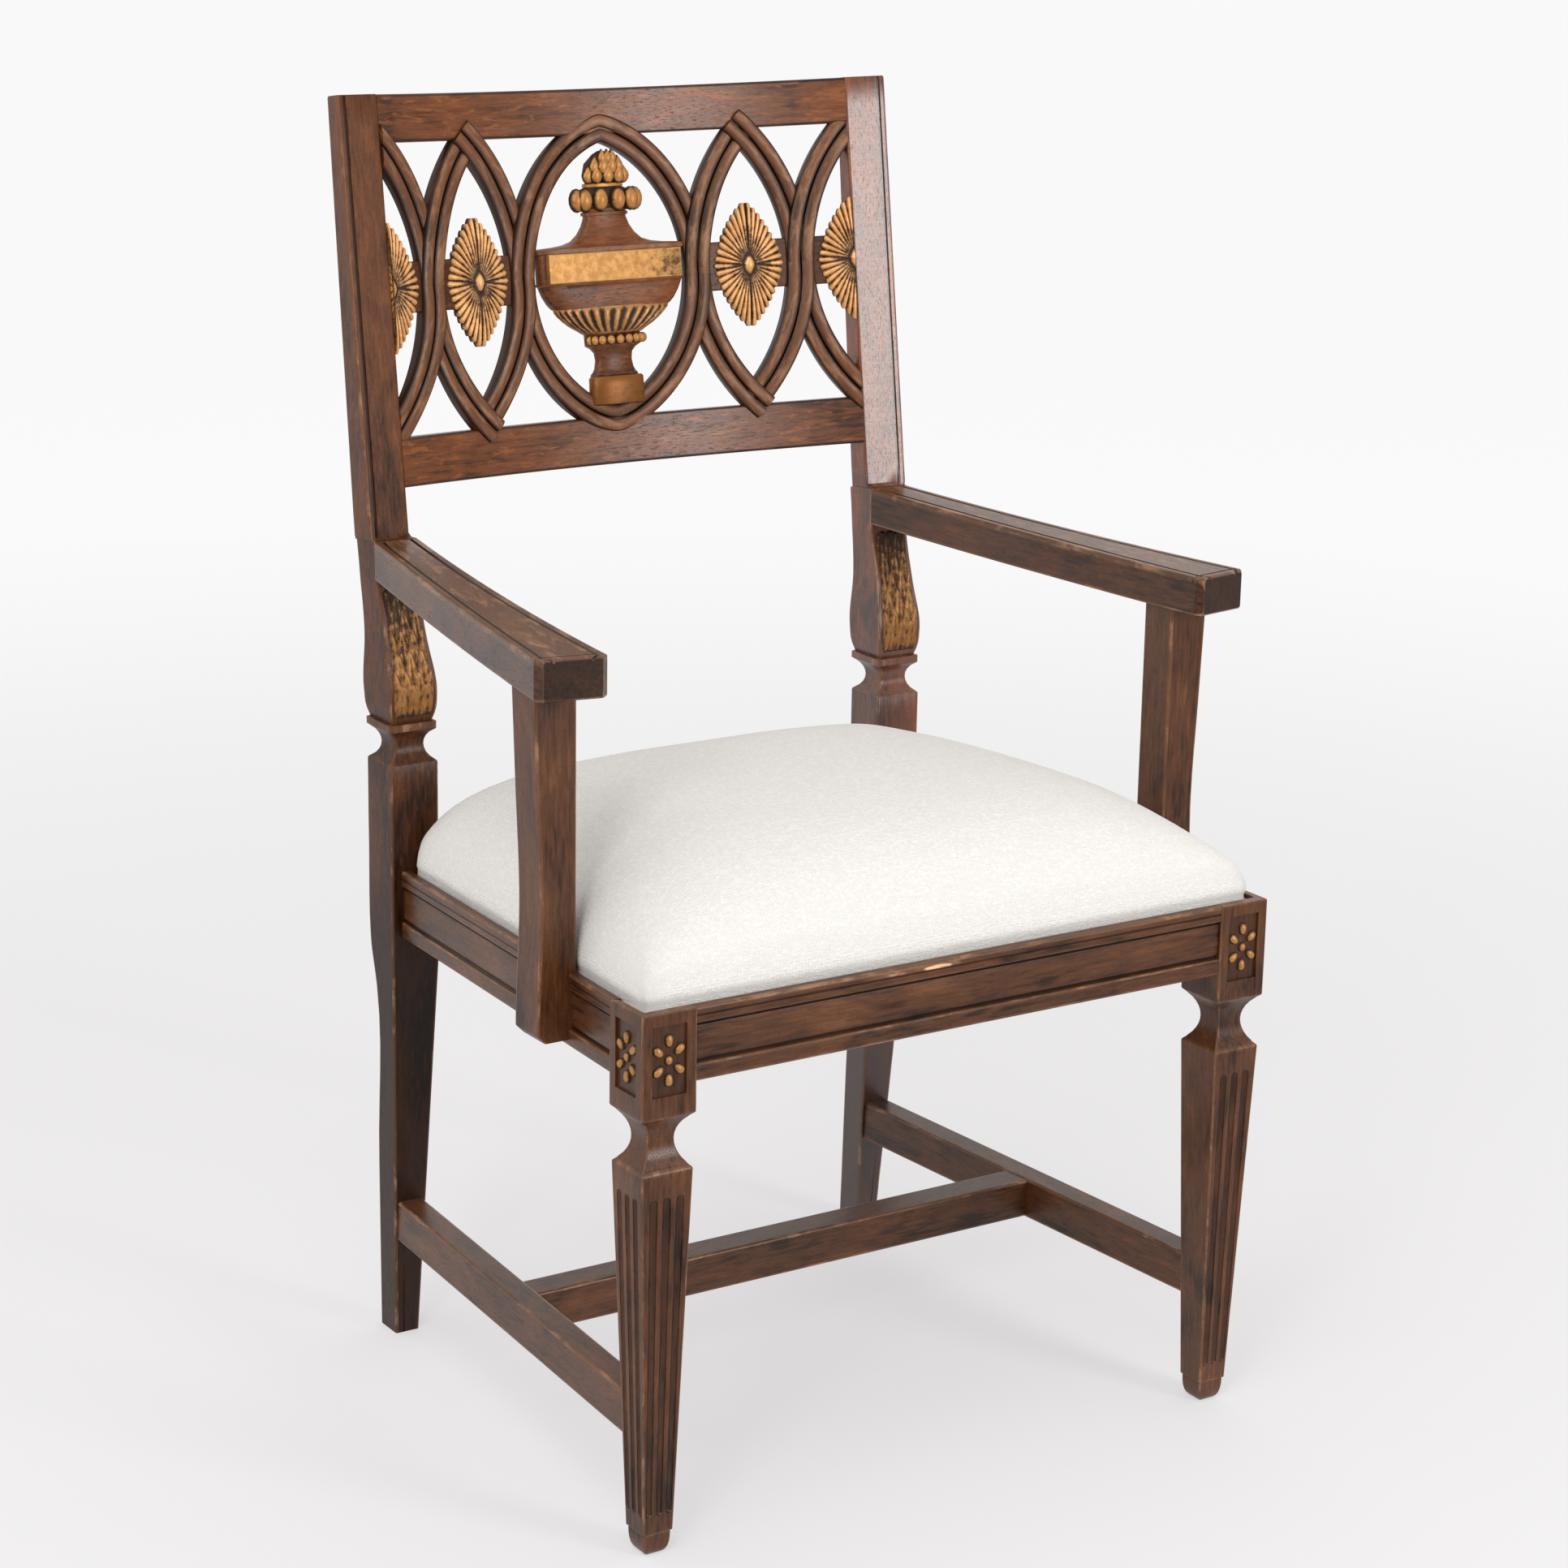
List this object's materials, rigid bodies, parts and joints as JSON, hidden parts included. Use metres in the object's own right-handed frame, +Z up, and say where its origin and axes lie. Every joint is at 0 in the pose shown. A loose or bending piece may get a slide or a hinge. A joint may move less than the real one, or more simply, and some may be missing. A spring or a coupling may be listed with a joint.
{
  "type": "open-arm chair",
  "caption": "Open armchair with a bowed pierced back of interlaced ovals, urn and paterae, flat arms on lapped posts, fluted tapering legs, stretchers and a drop-in upholstered seat.",
  "frame": {"origin": "on the floor under the middle of the chair's bounding box", "axes": "+Z up, the chair faces -Y, +X to the viewer's right when looking at its front"},
  "size_m": [0.6004, 0.5384, 0.96],
  "materials": {
    "oak": "dark stained, satin wax with worn lighter arrises",
    "gilt": "worn gilding over carved wood",
    "beech": "plain sawn",
    "cream_weave": "nubby plain weave",
    "webbing": "jute webbing",
    "dust_cloth": "thin black cloth",
    "steel": "plain screws and tacks"
  },
  "bodies": {
    "frame": {"arm_left": "oak", "arm_post_left": "oak", "arm_post_right": "oak", "arm_post_screws": "steel", "arm_right": "oak", "back_lattice": "oak", "corner_block_front_left": "oak", "corner_block_front_right": "oak", "corner_block_rear_left": "oak", "corner_block_rear_right": "oak", "corner_block_screws": "steel", "crest_rail": "oak", "front_leg_left": "oak", "front_leg_right": "oak", "front_seat_rail": "oak", "half_patera_left": "gilt", "half_patera_right": "gilt", "lower_back_rail": "oak", "medial_stretcher": "oak", "patera_left": "gilt", "patera_right": "gilt", "rear_leg_left": "oak", "rear_leg_right": "oak", "rear_seat_batten": "oak", "rear_seat_rail": "oak", "side_seat_rail_left": "oak", "side_seat_rail_right": "oak", "side_stretcher_left": "oak", "side_stretcher_right": "oak", "urn": "oak"},
    "drop_in_seat": {"seat_frame_front": "beech", "seat_frame_rear": "beech", "seat_frame_left": "beech", "seat_frame_right": "beech", "seat_webbing": "webbing", "seat_pad": "cream_weave", "seat_dust_cover": "dust_cloth", "dust_cover_tacks": "steel"}
  },
  "joints": [
    {"name": "seat_lift", "type": "slide", "parent": "frame", "child": "drop_in_seat", "axis": [0, 0, 1], "range_m": [0, 0.1]}
  ]
}
